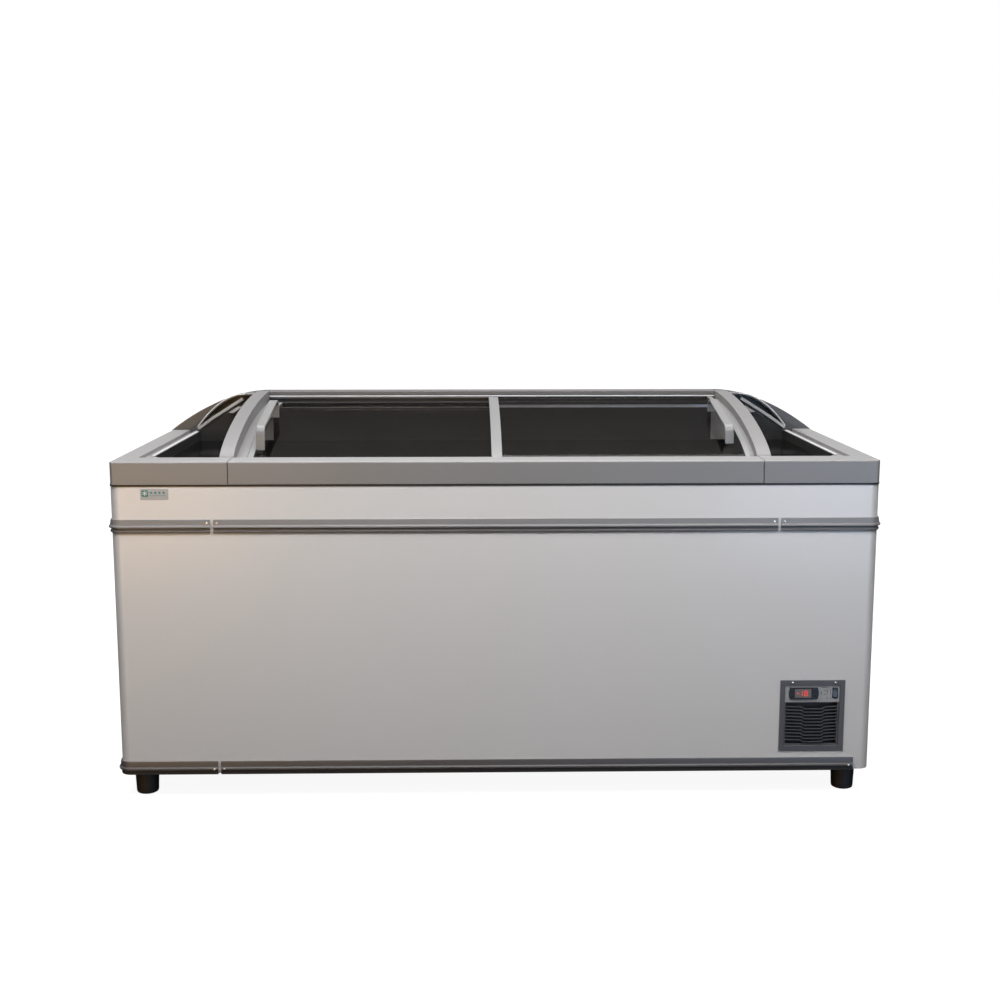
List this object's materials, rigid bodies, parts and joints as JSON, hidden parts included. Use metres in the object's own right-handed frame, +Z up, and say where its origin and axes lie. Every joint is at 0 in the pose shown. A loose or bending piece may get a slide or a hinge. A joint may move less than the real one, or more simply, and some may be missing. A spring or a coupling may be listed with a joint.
{
  "type": "display chest freezer",
  "caption": "Island display chest freezer: insulated tub on feet, grey top frame, curved sliding glass lids between arched ribs, bumper rails and a control grille.",
  "frame": {"origin": "on the floor, under the middle of the whole freezer's box", "axes": "+X along the length towards the grille's end, +Y from the customer's side to the rear hood, +Z up"},
  "size_m": [1.878, 0.76, 0.9579],
  "materials": {
    "white_steel": "satin powder coat",
    "base_steel": "galvanised, matt",
    "foam": "rigid foam, skinned",
    "liner": "dark satin",
    "liner_moulding": "dark satin moulding",
    "frame_grey": "fine satin moulding",
    "light_grey": "fine satin moulding",
    "lid_frame": "satin moulding",
    "lid_handle": "satin moulding",
    "glass": "tempered, low-emissivity",
    "clear_window": "clear, curved",
    "bumper_grey": "extruded, satin",
    "base_rail_grey": "extruded, satin",
    "grille_grey": "fine textured moulding",
    "control_plate": "satin film",
    "black_plastic": "fine textured",
    "display_window": "smoked, gloss",
    "track_aluminium": "mill",
    "copper": "drawn tube",
    "compressor_paint": "gloss black",
    "rubber": "matt"
  },
  "bodies": {
    "cabinet": {"front_panel": "white_steel", "rear_panel": "white_steel", "left_panel": "white_steel", "right_panel": "white_steel", "base_pan": "base_steel", "fan_shroud": "base_steel", "foam_front": "foam", "foam_rear": "foam", "foam_floor": "foam", "foam_step": "foam", "foam_left": "foam", "foam_right": "foam", "inner_tub": "liner", "rear_riser": "liner_moulding", "front_rail": "frame_grey", "left_end_frame": "frame_grey", "right_end_frame": "frame_grey", "rear_hood": "frame_grey", "ridge_rail": "frame_grey", "left_rib": "light_grey", "right_rib": "light_grey", "left_shoulder_shelf": "light_grey", "right_shoulder_shelf": "light_grey", "left_end_window": "clear_window", "right_end_window": "clear_window", "bumper_front": "bumper_grey", "bumper_rear": "bumper_grey", "bumper_left": "bumper_grey", "bumper_right": "bumper_grey", "base_rail_front": "base_rail_grey", "base_rail_left": "base_rail_grey", "grille_frame": "grille_grey", "louvre_grille": "grille_grey", "control_plate": "control_plate", "display_bezel": "black_plastic", "drain_plug": "black_plastic", "power_inlet": "black_plastic", "fan_motor": "black_plastic", "display_lens": "display_window", "front_track": "track_aluminium", "rear_track": "track_aluminium", "condenser": "track_aluminium", "evaporator_coil": "copper", "compressor": "compressor_paint", "foot_front_left": "rubber", "foot_front_right": "rubber", "foot_rear_left": "rubber", "foot_rear_right": "rubber"},
    "right_lid": {"right_lid_glass": "glass", "right_lid_frame": "lid_frame", "right_lid_handle": "lid_handle"},
    "left_lid": {"left_lid_glass": "glass", "left_lid_frame": "lid_frame", "left_lid_handle": "lid_handle"},
    "fan": {"fan_blade": "track_aluminium"},
    "rocker": {"rocker_switch": "black_plastic"},
    "key_1_cap": {"key_1": "black_plastic"},
    "key_2_cap": {"key_2": "black_plastic"},
    "key_3_cap": {"key_3": "black_plastic"},
    "key_4_cap": {"key_4": "black_plastic"}
  },
  "joints": [
    {"name": "left_lid_slide", "type": "slide", "parent": "cabinet", "child": "left_lid", "axis": [1, 0, 0], "range_m": [0, 0.565]},
    {"name": "right_lid_slide", "type": "slide", "parent": "cabinet", "child": "right_lid", "axis": [1, 0, 0], "range_m": [-0.565, 0]},
    {"name": "condenser_fan_spin", "type": "hinge", "parent": "cabinet", "child": "fan", "pos_m": [0.785, -0.253, 0.205], "axis": [0, 1, 0], "continuous": true},
    {"name": "light_switch_rock", "type": "hinge", "parent": "cabinet", "child": "rocker", "pos_m": [0.8385, -0.3662, 0.2612], "axis": [1, 0, 0], "range_deg": [0, 18]},
    {"name": "key_1_press", "type": "slide", "parent": "cabinet", "child": "key_1_cap", "axis": [0, 1, 0], "range_m": [0, 0.0008], "stiffness_N_per_m": 400},
    {"name": "key_2_press", "type": "slide", "parent": "cabinet", "child": "key_2_cap", "axis": [0, 1, 0], "range_m": [0, 0.0008], "stiffness_N_per_m": 400},
    {"name": "key_3_press", "type": "slide", "parent": "cabinet", "child": "key_3_cap", "axis": [0, 1, 0], "range_m": [0, 0.0008], "stiffness_N_per_m": 400},
    {"name": "key_4_press", "type": "slide", "parent": "cabinet", "child": "key_4_cap", "axis": [0, 1, 0], "range_m": [0, 0.0008], "stiffness_N_per_m": 400}
  ]
}
